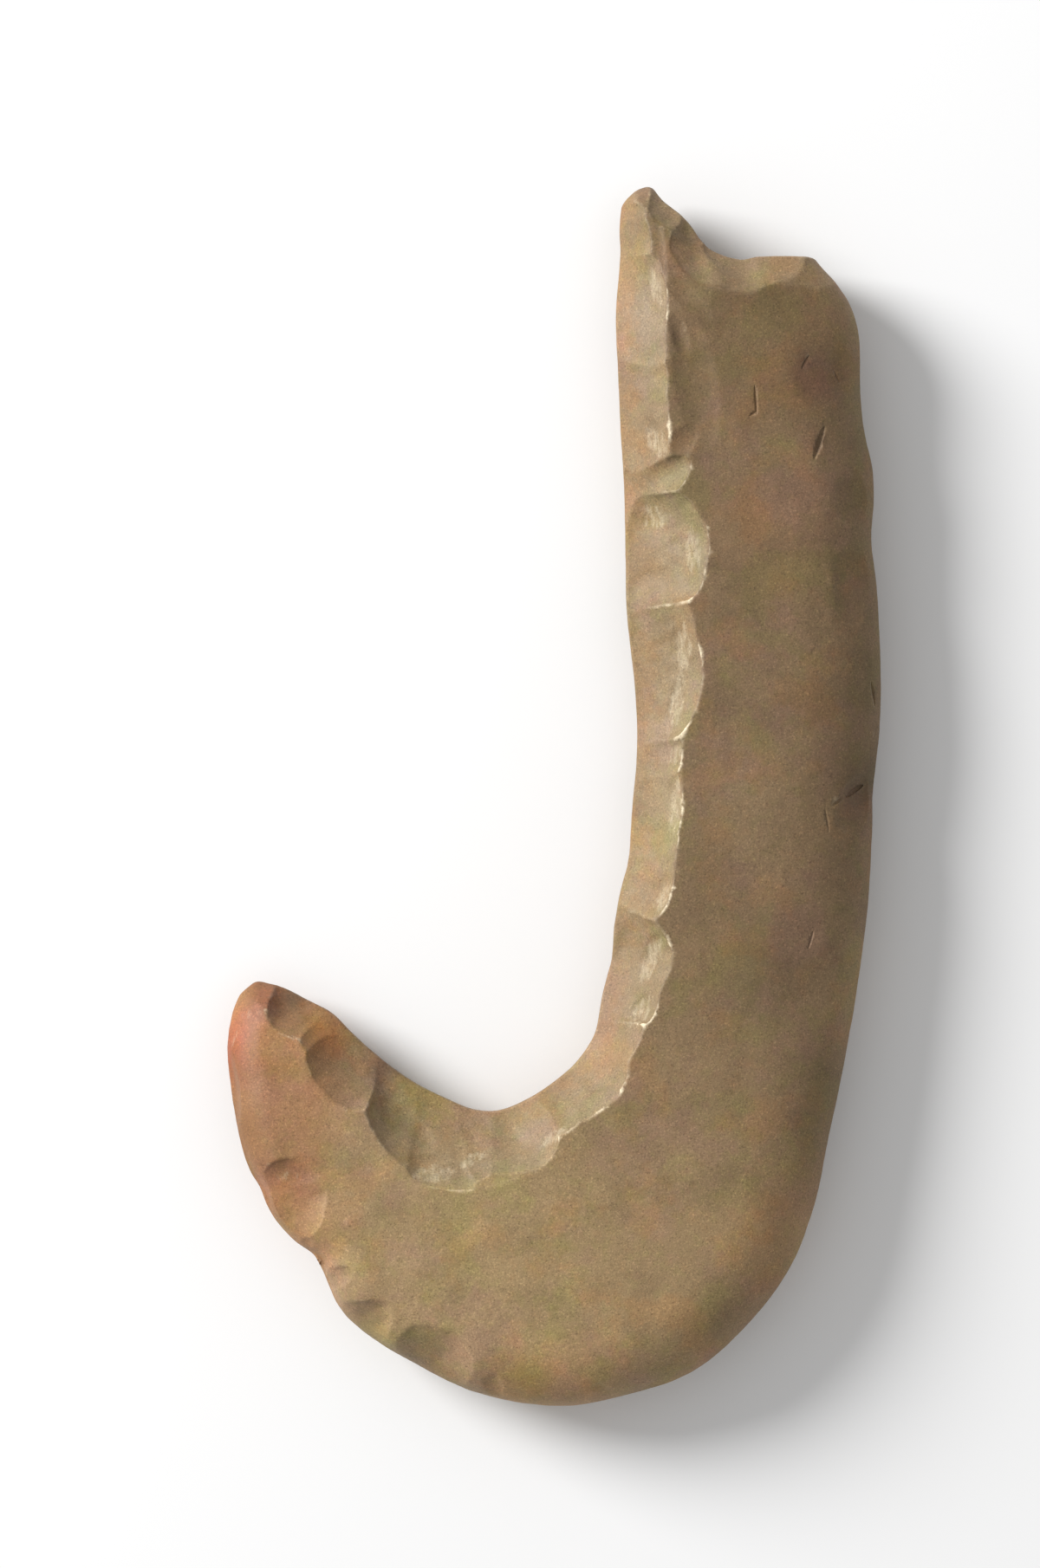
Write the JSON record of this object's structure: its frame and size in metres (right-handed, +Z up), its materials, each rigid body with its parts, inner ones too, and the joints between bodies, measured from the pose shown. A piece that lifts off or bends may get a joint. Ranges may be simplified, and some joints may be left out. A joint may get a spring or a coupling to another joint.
{
  "type": "stone fish hook",
  "caption": "Knapped stone fish hook with a broad flat shank, a deep round bend and a blunt point, scalloped by flake scars along its inner edge and broken at the top.",
  "frame": {"origin": "on the surface that the hook lies on, below the middle of its bounding box", "axes": "+Y along the shank towards the broken end, +X across the hook from the point to the shank, +Z up out of the worked face"},
  "size_m": [0.0484, 0.09, 0.0085],
  "materials": {
    "stone": "dull waxy knapped flint, mottled brown, olive and ochre, orange towards the point"
  },
  "bodies": {
    "root": {"fish_hook": "stone"}
  },
  "joints": []
}
